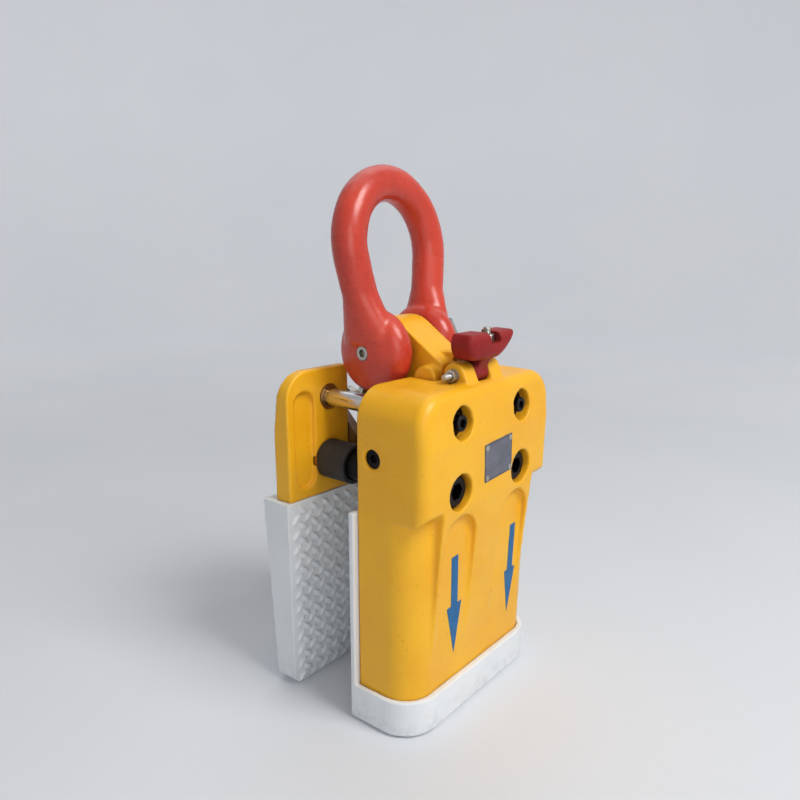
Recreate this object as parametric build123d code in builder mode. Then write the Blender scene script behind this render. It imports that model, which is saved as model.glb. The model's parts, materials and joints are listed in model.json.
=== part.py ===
from build123d import *
import math
import os

# Slab lifting clamp. X runs along the jaws, +Y from the front jaw to the rear jaw, Z is up.
# The shackle pulls the lug up, and rollers at the lug's foot draw the rear jaw onto the slab.

# Grip and overall sizes
opening = 60.0  # between the grip faces, jaws open
closing = 40.0  # travel of the rear jaw, and equal lift of the lug
front_depth = 68.0  # front grip face to the front of the upper block
rear_depth = 30.0  # rear grip face to the back of the rear boot
boot_width = 180.0
jaw_width = 171.0
jaw_top = 267.0
front_pad_top = 176.0
rear_pad_top = 165.0

# Rubber boots
pad_thickness = 7.0
tread_height = 2.0
tread_pitch = 6.5  # between rows, which lean left and right in turn
tread_long = 11.0
tread_short = 4.2
tread_margin = 2.5
boot_floor = 5.0
boot_wall = 5.5
cup_height = 32.0
boot_edge = 3.0
boot_corner_cut = 8.0
rear_boot_taper = 7.0
rubber_clearance = 0.1

# Front casing
overhang = 9.0  # upper block in front of the lower body
step_drop = 83.0  # front edge of the step below the jaw's top
step_rise = 8.0
crease_drop = 37.0
face_lean = 4.0
lower_corner = 24.0
front_edge = 9.0
shoulder_radius = 23.0
casting_wall = 10.0
casting_rib = 14.0
hollow_corner = 8.0
hollow_drop = 32.0  # top of the hollow below the step

# Raised panel on the casing's front, with two arched flutes
panel_half = 62.0
panel_bottom = 62.0
flute_radius = 20.5
flute_rim = 4.0
flute_web = 10.0  # flute top below the step's front edge
flute_floor_rise = 2.5

# Guide rods and their screws
upper_rod_x = 40.0
upper_rod_drop = 23.5
upper_rod_diameter = 14.0
lower_rod_x = 41.5
lower_rod_drop = 74.0
lower_rod_diameter = 24.0
socket_depth = 30.0
socket_web = 7.5
upper_seat_depth = 12.5  # upper screw's seat behind the front face
rod_end_inset = 6.0
upper_bore_diameter = 24.5
upper_washer_diameter = 23.5
upper_washer_thickness = 2.0
upper_screw = 8.0
lower_bore_diameter = 28.0
lower_washer_diameter = 27.0
lower_washer_thickness = 3.0
lower_screw = 16.0
screw_grip = 20.0  # screw length inside its rod
bush_wall = 3.0
rod_boss_wall = 5.0
buffer_diameter = 32.0
buffer_gap = 1.0  # left between buffer and casing, jaws closed

# Lug, its guide and its drive
lug_setback = 24.0  # shackle pin behind the front grip face
pin_rise = 15.5  # shackle pin above the jaw's top
pin_diameter = 28.0
lug_bush_wall = 3.0
lug_half = 17.0
lug_radius = 25.0
lug_shoulder_angle = 33.0
lug_front = 30.0  # lug's front face in front of the grip face
lug_back = 25.0  # lug's back face behind the shackle pin
web_half = 10.0
leg_half = 12.0
leg_end = 7.5  # leg below its pin slot
guide_pin_diameter = 12.0
guide_pin_setback = 21.0
guide_pin_drop = 48.4
grub_diameter = 14.0
grub_length = 6.0
grub_depth = 2.5
channel_wall = 2.5
channel_grip = 5.5
knuckle_radius = 10.0
knuckle_sink = 10.7  # lug's floor below the jaw's top
knuckle_half = 26.0
knuckle_forward = 20.0  # in front of the grip face
nose_half = 6.0
nose_reach = 6.5
nose_height = 10.0
nose_rise = 8.0
nose_hole = 4.0
nose_root = 12.0  # nose block behind the lug's front face
drive_forward = 3.5  # drive pin behind the shackle pin
drive_drop = 62.0  # drive pin below the lug's floor
drive_pin_diameter = 12.0
roller_diameter = 16.0
drive_lobe = 13.0
cam_inner = 11.0
cam_thickness = 8.0
cam_margin = 5.0
bay_clearance = 3.0
cam_screw = 6.0
cam_screw_length = 14.0
cam_screw_rise = 16.7  # above the drive pin

# Shackle
shackle_bar = 26.0
shackle_inside = 66.0
shackle_length = 108.0  # pin centre to the inside of the crown
shackle_lean = 7.4
eye_gap = 1.0
eye_width = 28.0
eye_radius = 32.0
eye_face_radius = 24.0
neck_start = 10.0
neck_end = 44.0
neck_depth = 24.0  # half size of the neck along the travel
pin_head_width = 40.0
pin_head_height = 11.0
pin_seat_depth = 3.0
lock_screw = 8.0
lock_head = 10.5
lock_head_height = 5.0
lock_dimple = 6.0
lock_depth = 16.0
eye_end_wall = 8.0

# Latch
latch_forward = 45.0  # pivot in front of the grip face
latch_rise = 5.0
latch_bolt = 5.0
latch_bolt_end = 7.0  # thread past the nut
latch_swing = 22.0
latch_bush_wall = 1.5
hub_radius = 9.0
hub_half = 8.5
ear_radius = 9.5
ear_gap = 18.0
ear_thickness = 15.0
ear_length = 22.0
ear_shift = 4.0  # foot of the ears in front of the pivot
head_top_rise = 30.0  # above the pivot
head_bottom_rise = 11.0
head_back = 1.5  # behind the pivot
head_depth = 19.0
head_left = 27.0
head_right = 33.0
head_edge = 6.0
hook_half = 6.0
hook_thickness = 5.4
hook_clearance = 0.6
stem_clearance = 1.5
latch_notch_x = 5.0
latch_notch_width = 13.0
latch_notch_depth = 8.0
stop_bolt = 6.0

# Rear jaw
rear_pad_thickness = 7.0
tongue_thickness = 13.0
tongue_margin = 1.5
jaw_proud = 3.0  # upper jaw's inner face behind the grip face
jaw_top_thickness = 9.0
jaw_waist_drop = 45.0
jaw_waist_taper = 4.0
jaw_shoulder_radius = 22.0
slot_clearance = 0.2
slot_under = 3.3  # floor of the jaw's slot below the cam plates
cheek_thickness = 9.0
pocket_x = 67.5
pocket_width = 21.0
pocket_depth = 4.0
pocket_drop = 16.0

# Small parts
plate_thickness = 4.0
plate_margin = 8.0
plate_screw = 6.0
plate_screw_length = 14.0
name_width = 38.0
name_height = 30.0
name_thickness = 1.0
name_x = 6.5
name_drop = 58.5
name_tilt = 3.6
rivet_diameter = 2.4
rivet_head = 0.6
rivet_inset = 3.0
running = 0.1  # radial clearance of running fits
seat = 0.05  # radial clearance of fixed fits
air = 0.3  # gap between bodies at rest

# Places worked out from the sizes
front_y = (rivet_head - front_depth - opening - rear_depth) / 2
grip_y = front_y + front_depth
rear_grip_y = grip_y + opening
rear_back_y = rear_grip_y + rear_depth
casing_back_y = grip_y - pad_thickness
lower_front_y = front_y + overhang
step_high = jaw_top - step_drop
step_low = step_high - step_rise
crease_z = jaw_top - crease_drop
upper_rod_z = jaw_top - upper_rod_drop
lower_rod_z = jaw_top - lower_rod_drop
upper_rods = [(-upper_rod_x, upper_rod_z), (upper_rod_x, upper_rod_z)]
lower_rods = [(-lower_rod_x, lower_rod_z), (lower_rod_x, lower_rod_z)]
socket_end_y = casing_back_y - socket_depth
upper_seat_y = front_y + upper_seat_depth
lower_seat_y = socket_end_y - socket_web
rod_end_y = rear_back_y - rod_end_inset
flute_top = step_high - flute_web
flute_x = panel_half - flute_rim - flute_radius
hollow_top = step_low - hollow_drop

lug_y = grip_y + lug_setback
pin_z = jaw_top + pin_rise
lug_front_y = grip_y - lug_front
lug_back_y = lug_y + lug_back
guide_pin_y = grip_y - guide_pin_setback
guide_pin_z = jaw_top - guide_pin_drop
leg_front_y = guide_pin_y - leg_half
leg_back_y = guide_pin_y + leg_half
pin_slot_half = guide_pin_diameter / 2 + running
leg_bottom = guide_pin_z - closing - pin_slot_half - leg_end
knuckle_y = grip_y - knuckle_forward
lug_floor = jaw_top - knuckle_sink
knuckle_z = lug_floor + knuckle_radius
seat_z = lug_floor - air
drive_y = lug_y + drive_forward
drive_z = lug_floor - drive_drop
cam_radius = roller_diameter / 2 + cam_margin
cam_half = cam_inner + cam_thickness
slot_half = cam_half + slot_clearance
bay_half = cam_half + bay_clearance
channel_back_y = leg_front_y - running
channel_front_y = channel_back_y - channel_wall
bay_front_y = channel_back_y + channel_grip
bay_floor = drive_z - cam_radius - air * 5

latch_y = grip_y - latch_forward
latch_z = jaw_top + latch_rise
ear_half = ear_gap / 2
head_back_y = latch_y + head_back
head_top = latch_z + head_top_rise
head_bottom = latch_z + head_bottom_rise
nose_front_y = lug_front_y - nose_reach
shoulder_drop = (lug_y - lug_front_y) * math.tan(math.radians(lug_shoulder_angle))
lug_corner_z = pin_z + lug_radius / math.cos(math.radians(lug_shoulder_angle)) - shoulder_drop
nose_top = lug_corner_z + nose_rise

jaw_inner_y = rear_grip_y + jaw_proud
tongue_front_y = rear_grip_y + rear_pad_thickness
tongue_back_y = tongue_front_y + tongue_thickness
jaw_waist_z = jaw_top - jaw_waist_drop
slot_floor = drive_z - cam_radius - slot_under
cam_back_y = drive_y + closing + cam_radius
cheek_back_y = max(cam_back_y, tongue_back_y) + air


def front_plane(y):
    """Upright plane across the jaws: local x is X, local y is Z, and it faces the front (-Y)."""
    return Plane.XZ.offset(-y)


def side_plane(x):
    """Upright plane along the travel: local x is Y, local y is Z, and it faces +X."""
    return Plane.YZ.offset(x)


def save(piece, name):
    """Labels a finished piece and writes it as its own file."""
    piece.part.label = name
    export_step(piece.part, f"parts/{name}.step")


os.makedirs("parts", exist_ok=True)

# Front casing: lower body, overhanging upper block, raised panel with flutes, latch ears
with BuildPart() as flutes:
    with BuildSketch(front_plane(front_y)) as flute_arches:
        flute_length = flute_top - panel_bottom + flute_radius
        with Locations(*[(side * flute_x, flute_top - flute_length / 2) for side in (-1, 1)]):
            SlotOverall(flute_length, 2 * flute_radius, rotation=90)
    extrude(amount=-overhang)
    with BuildSketch(Plane.YZ) as flute_side:
        with BuildLine():
            Polyline(
                (front_y, panel_bottom),
                (lower_front_y, panel_bottom),
                (lower_front_y - flute_floor_rise, flute_top),
                (front_y, flute_top),
                close=True,
            )
        make_face()
    extrude(amount=panel_half, both=True, mode=Mode.INTERSECT)

# Guide rod sockets from behind, counterbores for their screws from the front
rod_cuts = []
for rods, rod, screw, bore, screw_seat_y in (
    (upper_rods, upper_rod_diameter, upper_screw, upper_bore_diameter, upper_seat_y),
    (lower_rods, lower_rod_diameter, lower_screw, lower_bore_diameter, lower_seat_y),
):
    with BuildPart() as rod_cut:
        with BuildSketch(front_plane(casing_back_y)):
            with Locations(*rods):
                Circle(rod / 2 + seat)
        extrude(amount=socket_depth)
        with BuildSketch(front_plane(socket_end_y)):
            with Locations(*rods):
                Circle(screw / 2 + running * 3)
        extrude(amount=socket_end_y - screw_seat_y)
        with BuildSketch(front_plane(screw_seat_y)):
            with Locations(*rods):
                Circle(bore / 2)
        extrude(amount=front_depth)
    rod_cuts.append(rod_cut.part)
upper_rod_cut, lower_rod_cut = rod_cuts

with BuildPart() as front_casing:
    with BuildSketch(front_plane(front_y)) as block_front:
        with Locations((0, (jaw_top + step_low) / 2)):
            Rectangle(jaw_width, jaw_top - step_low)
        fillet(block_front.vertices().group_by(Axis.Y)[-1], shoulder_radius)
    extrude(amount=front_y - casing_back_y)
    with BuildSketch(Plane.YZ) as block_side:
        with BuildLine():
            Polyline(
                (casing_back_y, step_low),
                (lower_front_y, step_low),
                (front_y, step_high),
                (front_y, crease_z),
                (front_y + face_lean, jaw_top),
                (casing_back_y, jaw_top),
                close=True,
            )
        make_face()
        fillet(block_side.vertices().group_by(Axis.Y)[-1].sort_by(Axis.X)[-1], shoulder_radius)
    extrude(amount=jaw_width, both=True, mode=Mode.INTERSECT)
    add(upper_rod_cut, mode=Mode.SUBTRACT)
    face_edges = front_casing.edges().filter_by(lambda edge: edge.center().Y <= front_y + face_lean)
    top_edges = face_edges.filter_by(lambda edge: edge.center().Z > jaw_top - air)
    side_edges = face_edges.filter_by(lambda edge: abs(edge.center().X) > jaw_width / 2 - shoulder_radius)
    fillet(top_edges + side_edges.filter_by(lambda edge: edge.center().Z > step_high + air), front_edge)
    with BuildSketch(Plane.XY.offset(boot_floor)) as lower_plan:
        with Locations((0, (casing_back_y + lower_front_y) / 2)):
            Rectangle(jaw_width, casing_back_y - lower_front_y)
        fillet(lower_plan.vertices().group_by(Axis.Y)[0], lower_corner)
    extrude(amount=step_high - boot_floor)
    with BuildSketch(Plane.YZ) as panel_side:
        with BuildLine():
            Polyline(
                (lower_front_y, panel_bottom),
                (front_y, step_high),
                (lower_front_y, step_high),
                close=True,
            )
        make_face()
    extrude(amount=panel_half, both=True)
    add(flutes.part, mode=Mode.SUBTRACT)
    for ear_x in (-ear_half - ear_thickness, ear_half):
        with BuildSketch(side_plane(ear_x)):
            with Locations((latch_y, latch_z)):
                Circle(ear_radius)
            with Locations((latch_y - ear_shift, jaw_top - ear_radius)):
                Rectangle(ear_length, ear_radius)
            make_hull()
        extrude(amount=ear_thickness)
    with BuildSketch(side_plane(-jaw_width / 2)):
        with Locations((latch_y, latch_z)):
            Circle(latch_bolt / 2 + seat)
    extrude(amount=jaw_width, mode=Mode.SUBTRACT)
    with BuildSketch(side_plane(-ear_half)):
        with Locations((latch_y, latch_z)):
            Circle(hub_radius + 2 * air)
    extrude(amount=ear_gap, mode=Mode.SUBTRACT)
    for spot_x in (-ear_half - ear_thickness - 1.5 * latch_bolt, ear_half + ear_thickness):
        with BuildSketch(side_plane(spot_x)):
            with Locations((latch_y, latch_z)):
                Circle(latch_bolt + 2 * air)
        extrude(amount=1.5 * latch_bolt, mode=Mode.SUBTRACT)
    # Bay for the lug and the cam plates, the knuckle seat, and the channel of the lug's leg
    with Locations((0, (bay_front_y + casing_back_y) / 2, bay_floor)):
        Box(
            2 * bay_half,
            casing_back_y - bay_front_y,
            jaw_top - bay_floor,
            align=(Align.CENTER, Align.CENTER, Align.MIN),
            mode=Mode.SUBTRACT,
        )
    with Locations((0, (lug_front_y - air + casing_back_y) / 2, seat_z)):
        Box(
            2 * (knuckle_half + air),
            casing_back_y - lug_front_y + air,
            jaw_top - seat_z,
            align=(Align.CENTER, Align.CENTER, Align.MIN),
            mode=Mode.SUBTRACT,
        )
    with Locations((0, (channel_back_y + casing_back_y) / 2, leg_bottom - air)):
        Box(
            2 * (web_half + air),
            casing_back_y - channel_back_y,
            jaw_top - leg_bottom + 2 * air,
            align=(Align.CENTER, Align.CENTER, Align.MIN),
            mode=Mode.SUBTRACT,
        )
    with Locations((0, (channel_front_y + bay_front_y) / 2, bay_floor)):
        Box(
            2 * (web_half + running + channel_wall),
            bay_front_y - channel_front_y,
            seat_z - bay_floor,
            align=(Align.CENTER, Align.CENTER, Align.MIN),
            mode=Mode.SUBTRACT,
        )
    add(lower_rod_cut, mode=Mode.SUBTRACT)
    # Bore of the lug's guide pin with its two threaded ends
    with BuildSketch(side_plane(-jaw_width / 2)):
        with Locations((guide_pin_y, guide_pin_z)):
            Circle(guide_pin_diameter / 2 + seat)
    extrude(amount=jaw_width, mode=Mode.SUBTRACT)
    for end_x in (-jaw_width / 2, jaw_width / 2 - grub_depth - grub_length):
        with BuildSketch(side_plane(end_x)):
            with Locations((guide_pin_y, guide_pin_z)):
                Circle(grub_diameter / 2)
        extrude(amount=grub_depth + grub_length, mode=Mode.SUBTRACT)
    # Hollow of the lower body, open to the back and closed by the backing plate
    hollow_width = jaw_width / 2 - casting_wall - casting_rib / 2
    hollow_height = hollow_top - boot_floor - casting_wall
    with BuildSketch(front_plane(casing_back_y)):
        hollow_x = (casting_rib + hollow_width) / 2
        with Locations(*[(side * hollow_x, hollow_top - hollow_height / 2) for side in (-1, 1)]):
            RectangleRounded(hollow_width, hollow_height, hollow_corner)
    extrude(amount=casing_back_y - lower_front_y - casting_wall, mode=Mode.SUBTRACT)
    plate_width = jaw_width - 2 * plate_margin
    plate_height = hollow_height + plate_margin
    plate_z = hollow_top - hollow_height / 2
    with BuildSketch(front_plane(casing_back_y)):
        with Locations((0, plate_z)):
            RectangleRounded(plate_width + 2 * seat, plate_height + 2 * seat, hollow_corner)
    extrude(amount=plate_thickness, mode=Mode.SUBTRACT)
    plate_screws = [(0, plate_z + side * plate_height / 4) for side in (-1, 1)]
    with BuildSketch(front_plane(casing_back_y)):
        with Locations(*plate_screws):
            Circle(plate_screw / 2 + seat)
    extrude(amount=plate_thickness + plate_screw_length, mode=Mode.SUBTRACT)
    # Seat of the name plate with its rivet holes
    name_plane = front_plane(front_y)
    with BuildSketch(name_plane):
        with Locations(Location((name_x, jaw_top - name_drop), name_tilt)):
            Rectangle(name_width + 2 * seat, name_height + 2 * seat)
    extrude(amount=-name_thickness, mode=Mode.SUBTRACT)
    rivet_spacing = (name_width - 2 * rivet_inset, name_height - 2 * rivet_inset)
    with BuildSketch(name_plane):
        with Locations(Location((name_x, jaw_top - name_drop), name_tilt)):
            with GridLocations(*rivet_spacing, 2, 2):
                Circle(rivet_diameter / 2 + seat)
    extrude(amount=-name_thickness - 2 * rivet_diameter, mode=Mode.SUBTRACT)
save(front_casing, "front_casing")

# Front boot: grip pad and cup in one moulding, with a lozenge tread on the grip face
grip_base_y = grip_y - tread_height
tread_width = boot_width - 2 * tread_margin
tread_columns = int(tread_width / (2 * tread_pitch))
lozenge = [(tread_long / 2, 0), (0, tread_short / 2), (-tread_long / 2, 0), (0, -tread_short / 2)]
tread_offsets = [(-0.5, -0.5, 45), (0.5, 0.5, -45)]

with BuildPart() as front_boot:
    boot_front_y = lower_front_y - boot_wall
    with BuildSketch(Plane.XY) as cup_plan:
        with Locations((0, (grip_base_y + boot_front_y) / 2)):
            Rectangle(boot_width, grip_base_y - boot_front_y)
        fillet(cup_plan.vertices().group_by(Axis.Y)[0], lower_corner + boot_wall)
    extrude(amount=cup_height)
    chamfer(front_boot.faces().sort_by(Axis.Z)[0].edges(), boot_edge)
    with Locations((0, (casing_back_y + grip_base_y) / 2, boot_edge)):
        Box(
            boot_width,
            grip_base_y - casing_back_y,
            front_pad_top - boot_edge,
            align=(Align.CENTER, Align.CENTER, Align.MIN),
        )
    with BuildSketch(Plane.XY.offset(boot_floor)) as cup_hollow:
        with Locations((0, (casing_back_y + lower_front_y) / 2)):
            Rectangle(
                jaw_width + 2 * rubber_clearance,
                casing_back_y - lower_front_y + 2 * rubber_clearance,
            )
        fillet(cup_hollow.vertices().group_by(Axis.Y)[0], lower_corner)
    extrude(amount=cup_height, mode=Mode.SUBTRACT)
    with BuildSketch(front_plane(grip_base_y)):
        tread_rows = int((front_pad_top - 2 * tread_margin) / (2 * tread_pitch))
        for dx, dz, turn in tread_offsets:
            with Locations((dx * tread_pitch, front_pad_top / 2 + dz * tread_pitch)):
                with GridLocations(2 * tread_pitch, 2 * tread_pitch, tread_columns, tread_rows):
                    Polygon(*lozenge, rotation=turn, align=None)
    extrude(amount=-tread_height)
save(front_boot, "front_boot")

with BuildPart() as front_backing_plate:
    with BuildSketch(front_plane(casing_back_y)):
        with Locations((0, plate_z)):
            RectangleRounded(plate_width, plate_height, hollow_corner)
    extrude(amount=plate_thickness)
    with BuildSketch(front_plane(casing_back_y)):
        with Locations(*plate_screws):
            Circle(plate_screw / 2 + seat)
    extrude(amount=plate_thickness, mode=Mode.SUBTRACT)
    with Locations(*[Location((x, casing_back_y, z), (-90, 0, 0)) for x, z in plate_screws]):
        CounterSinkHole(plate_screw / 2 + seat, plate_screw + 2 * seat, depth=plate_thickness)
save(front_backing_plate, "front_backing_plate")

with BuildPart() as backing_plate_screws:
    for x, z in plate_screws:
        with BuildSketch(Plane(origin=(x, casing_back_y, z), x_dir=(1, 0, 0), z_dir=(0, 0, 1))):
            with BuildLine():
                Polyline(
                    (0, 0),
                    (plate_screw, 0),
                    (plate_screw / 2, -plate_screw / 2),
                    (plate_screw / 2, -plate_thickness - plate_screw_length),
                    (0, -plate_thickness - plate_screw_length),
                    close=True,
                )
            make_face()
        revolve(axis=Axis((x, casing_back_y, z), (0, 1, 0)))
save(backing_plate_screws, "backing_plate_screws")

# Guide rods, fixed in the front casing by a screw and washer from the front
for row, rods, rod, screw in (
    ("upper", upper_rods, upper_rod_diameter, upper_screw),
    ("lower", lower_rods, lower_rod_diameter, lower_screw),
):
    for side, rod_place in zip(("left", "right"), rods):
        with BuildPart() as guide_rod:
            with BuildSketch(front_plane(socket_end_y)):
                with Locations(rod_place):
                    Circle(rod / 2)
            extrude(amount=socket_end_y - rod_end_y)
            chamfer(guide_rod.edges().filter_by(GeomType.CIRCLE), screw / 8)
            with BuildSketch(front_plane(socket_end_y)):
                with Locations(rod_place):
                    Circle(screw / 2 + seat)
            extrude(amount=-screw_grip, mode=Mode.SUBTRACT)
        save(guide_rod, f"{row}_guide_rod_{side}")

for row, rods, screw, washer, washer_thickness, screw_seat_y in (
    ("upper", upper_rods, upper_screw, upper_washer_diameter, upper_washer_thickness, upper_seat_y),
    ("lower", lower_rods, lower_screw, lower_washer_diameter, lower_washer_thickness, lower_seat_y),
):
    head_seat_y = screw_seat_y - washer_thickness
    with BuildPart() as rod_washers:
        with BuildSketch(front_plane(screw_seat_y)):
            with Locations(*rods):
                Circle(washer / 2)
                Circle(screw / 2 + running * 3, mode=Mode.SUBTRACT)
        extrude(amount=washer_thickness)
    save(rod_washers, f"{row}_rod_washers")
    with BuildPart() as rod_screws:
        with BuildSketch(front_plane(head_seat_y)):
            with Locations(*rods):
                Circle(screw / 2)
        extrude(amount=head_seat_y - socket_end_y - screw_grip)
        with BuildSketch(front_plane(head_seat_y)):
            with Locations(*rods):
                Circle(0.75 * screw)
        extrude(amount=screw)
        chamfer(rod_screws.faces().group_by(Axis.Y)[0].edges(), screw / 12)
        with BuildSketch(front_plane(head_seat_y - screw)):
            with Locations(*rods):
                RegularPolygon(0.43 * screw, 6)
        extrude(amount=-screw / 2, mode=Mode.SUBTRACT)
    save(rod_screws, f"{row}_rod_screws")

# Guide pin of the lug, closed in by a grub screw at each end
with BuildPart() as lug_guide_pin:
    guide_pin_half = jaw_width / 2 - grub_depth - grub_length
    with BuildSketch(side_plane(-guide_pin_half)):
        with Locations((guide_pin_y, guide_pin_z)):
            Circle(guide_pin_diameter / 2)
    extrude(amount=2 * guide_pin_half)
save(lug_guide_pin, "lug_guide_pin")

with BuildPart() as guide_pin_grub_screws:
    for face_x, inward in ((-jaw_width / 2 + grub_depth, 1), (jaw_width / 2 - grub_depth, -1)):
        with BuildSketch(side_plane(face_x)):
            with Locations((guide_pin_y, guide_pin_z)):
                Circle(grub_diameter / 2 - seat)
        extrude(amount=inward * grub_length)
        with BuildSketch(side_plane(face_x)):
            with Locations((guide_pin_y, guide_pin_z)):
                RegularPolygon(grub_diameter / 4, 6)
        extrude(amount=inward * grub_length / 2, mode=Mode.SUBTRACT)
save(guide_pin_grub_screws, "guide_pin_grub_screws")

with BuildPart() as lug_guide_channel:
    with BuildSketch(Plane.XY.offset(bay_floor)):
        with Locations((0, (channel_front_y + bay_front_y) / 2)):
            Rectangle(2 * (web_half + running + channel_wall - seat), bay_front_y - channel_front_y)
        with Locations((0, (channel_back_y + bay_front_y) / 2)):
            Rectangle(2 * (web_half + running), bay_front_y - channel_back_y, mode=Mode.SUBTRACT)
    extrude(amount=seat_z - bay_floor)
save(lug_guide_channel, "lug_guide_channel")

with BuildPart() as name_plate:
    with BuildSketch(name_plane):
        with Locations(Location((name_x, jaw_top - name_drop), name_tilt)):
            Rectangle(name_width, name_height)
            with GridLocations(*rivet_spacing, 2, 2):
                Circle(rivet_diameter / 2 + seat, mode=Mode.SUBTRACT)
    extrude(amount=-name_thickness)
save(name_plate, "name_plate")

with BuildPart() as name_plate_rivets:
    with BuildSketch(name_plane):
        with Locations(Location((name_x, jaw_top - name_drop), name_tilt)):
            with GridLocations(*rivet_spacing, 2, 2):
                Circle(rivet_diameter / 2)
    extrude(amount=-name_thickness - 2 * rivet_diameter)
    with BuildSketch(name_plane):
        with Locations(Location((name_x, jaw_top - name_drop), name_tilt)):
            with GridLocations(*rivet_spacing, 2, 2):
                Circle(0.9 * rivet_diameter)
    extrude(amount=rivet_head)
save(name_plate_rivets, "name_plate_rivets")

# Latch pivot: bolt head on the right ear, washer and nut on the left ear
ear_outer = ear_half + ear_thickness
latch_washer_thickness = latch_bolt / 5
latch_nut_height = 0.8 * latch_bolt
latch_head_height = 0.64 * latch_bolt
hex_radius = 0.98 * latch_bolt
with BuildPart() as latch_washers:
    for washer_x in (-ear_outer - latch_washer_thickness, ear_outer):
        with BuildSketch(side_plane(washer_x)):
            with Locations((latch_y, latch_z)):
                Circle(latch_bolt)
                Circle(latch_bolt / 2 + seat, mode=Mode.SUBTRACT)
        extrude(amount=latch_washer_thickness)
save(latch_washers, "latch_washers")

latch_nut_x = -ear_outer - latch_washer_thickness - latch_nut_height
with BuildPart() as latch_pivot_bolt:
    with BuildSketch(side_plane(latch_nut_x - latch_bolt_end)):
        with Locations((latch_y, latch_z)):
            Circle(latch_bolt / 2)
    extrude(amount=ear_outer + latch_washer_thickness - latch_nut_x + latch_bolt_end)
    with BuildSketch(side_plane(ear_outer + latch_washer_thickness)):
        with Locations((latch_y, latch_z)):
            RegularPolygon(hex_radius, 6)
    extrude(amount=latch_head_height)
save(latch_pivot_bolt, "latch_pivot_bolt")

with BuildPart() as latch_pivot_nut:
    with BuildSketch(side_plane(latch_nut_x)):
        with Locations((latch_y, latch_z)):
            RegularPolygon(hex_radius, 6, rotation=15)
            Circle(latch_bolt / 2 + seat, mode=Mode.SUBTRACT)
    extrude(amount=latch_nut_height)
save(latch_pivot_nut, "latch_pivot_nut")

# Lifting lug: thick head round the shackle pin, thinner web with the guided leg and the drive lobe
with BuildPart() as lifting_lug:
    with BuildSketch(Plane.YZ) as lug_web:
        with BuildLine():
            Polyline(
                (leg_front_y, leg_bottom),
                (leg_back_y, leg_bottom),
                (leg_back_y, drive_z - drive_lobe),
                (drive_y, drive_z - drive_lobe),
                (drive_y + drive_lobe, drive_z),
                (drive_y + drive_lobe, pin_z),
                (lug_front_y, pin_z - lug_radius / 2),
                (lug_front_y, seat_z - leg_half),
                (leg_front_y, seat_z - 2 * leg_half),
                close=True,
            )
        make_face()
        with Locations((drive_y, drive_z)):
            Circle(drive_lobe)
    extrude(amount=web_half, both=True)
    with BuildSketch(Plane.YZ) as lug_head:
        shoulder = math.radians(lug_shoulder_angle)
        with BuildLine():
            Polyline(
                (lug_front_y, lug_floor),
                (lug_front_y, lug_corner_z),
                (lug_y - lug_radius * math.sin(shoulder), pin_z + lug_radius * math.cos(shoulder)),
                (lug_y, pin_z),
                (lug_back_y, pin_z),
                (lug_back_y, lug_floor),
                close=True,
            )
        make_face()
        with Locations((lug_y, pin_z)):
            Circle(lug_radius)
    extrude(amount=lug_half, both=True)
    with BuildSketch(Plane.YZ):
        with Locations((knuckle_y, knuckle_z)):
            Circle(knuckle_radius)
    extrude(amount=knuckle_half, both=True)
    with BuildSketch(Plane.YZ):
        with Locations(((nose_front_y + lug_front_y + nose_root) / 2, nose_top - nose_height / 2)):
            RectangleRounded(nose_reach + nose_root, nose_height, nose_hole / 2)
    extrude(amount=nose_half, both=True)
    with BuildSketch(Plane.YZ):
        with Locations((nose_front_y + nose_reach / 2, nose_top - nose_height / 2)):
            Circle(nose_hole / 2)
        with Locations((lug_y, pin_z)):
            Circle(pin_diameter / 2 + lug_bush_wall)
        with Locations((drive_y, drive_z)):
            Circle(drive_pin_diameter / 2 + seat)
        with Locations((guide_pin_y, guide_pin_z - closing / 2)):
            SlotCenterToCenter(closing, 2 * pin_slot_half, rotation=90)
    extrude(amount=knuckle_half, both=True, mode=Mode.SUBTRACT)
save(lifting_lug, "lifting_lug")

with BuildPart() as lug_bush:
    with BuildSketch(Plane.YZ):
        with Locations((lug_y, pin_z)):
            Circle(pin_diameter / 2 + lug_bush_wall - seat)
            Circle(pin_diameter / 2 + running, mode=Mode.SUBTRACT)
    extrude(amount=lug_half, both=True)
save(lug_bush, "lug_bush")

with BuildPart() as drive_pin:
    with BuildSketch(Plane.YZ):
        with Locations((drive_y, drive_z)):
            Circle(drive_pin_diameter / 2)
    extrude(amount=cam_half, both=True)
save(drive_pin, "drive_pin")

for side, roller_x in (("left", -cam_half), ("right", web_half + 2 * slot_clearance)):
    with BuildPart() as drive_roller:
        with BuildSketch(side_plane(roller_x)):
            with Locations((drive_y, drive_z)):
                Circle(roller_diameter / 2)
                Circle(drive_pin_diameter / 2 + seat, mode=Mode.SUBTRACT)
        extrude(amount=cam_half - web_half - 2 * slot_clearance)
    save(drive_roller, f"drive_roller_{side}")

# Shackle, leaning back from upright
lean = math.radians(shackle_lean)
bow_plane = Plane(
    origin=(0, lug_y, pin_z), x_dir=(1, 0, 0), z_dir=(0, -math.cos(lean), math.sin(lean))
)
pin_axis = Axis((0, lug_y, pin_z), (1, 0, 0))
eye_inner = lug_half + eye_gap
eye_outer = eye_inner + eye_width
eye_x = eye_inner + shackle_bar / 2 + eye_gap
crown_radius = (shackle_inside + shackle_bar) / 2
crown_z = shackle_length - shackle_inside / 2
leg_length = math.sqrt(eye_x**2 + crown_z**2 - crown_radius**2)
leg_angle = math.atan2(crown_z, -eye_x) - math.atan2(crown_radius, leg_length)
leg_top = (eye_x + leg_length * math.cos(leg_angle), leg_length * math.sin(leg_angle))
bulge_x = eye_inner + 0.42 * eye_width
face_x = eye_inner + 0.8 * eye_width

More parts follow.
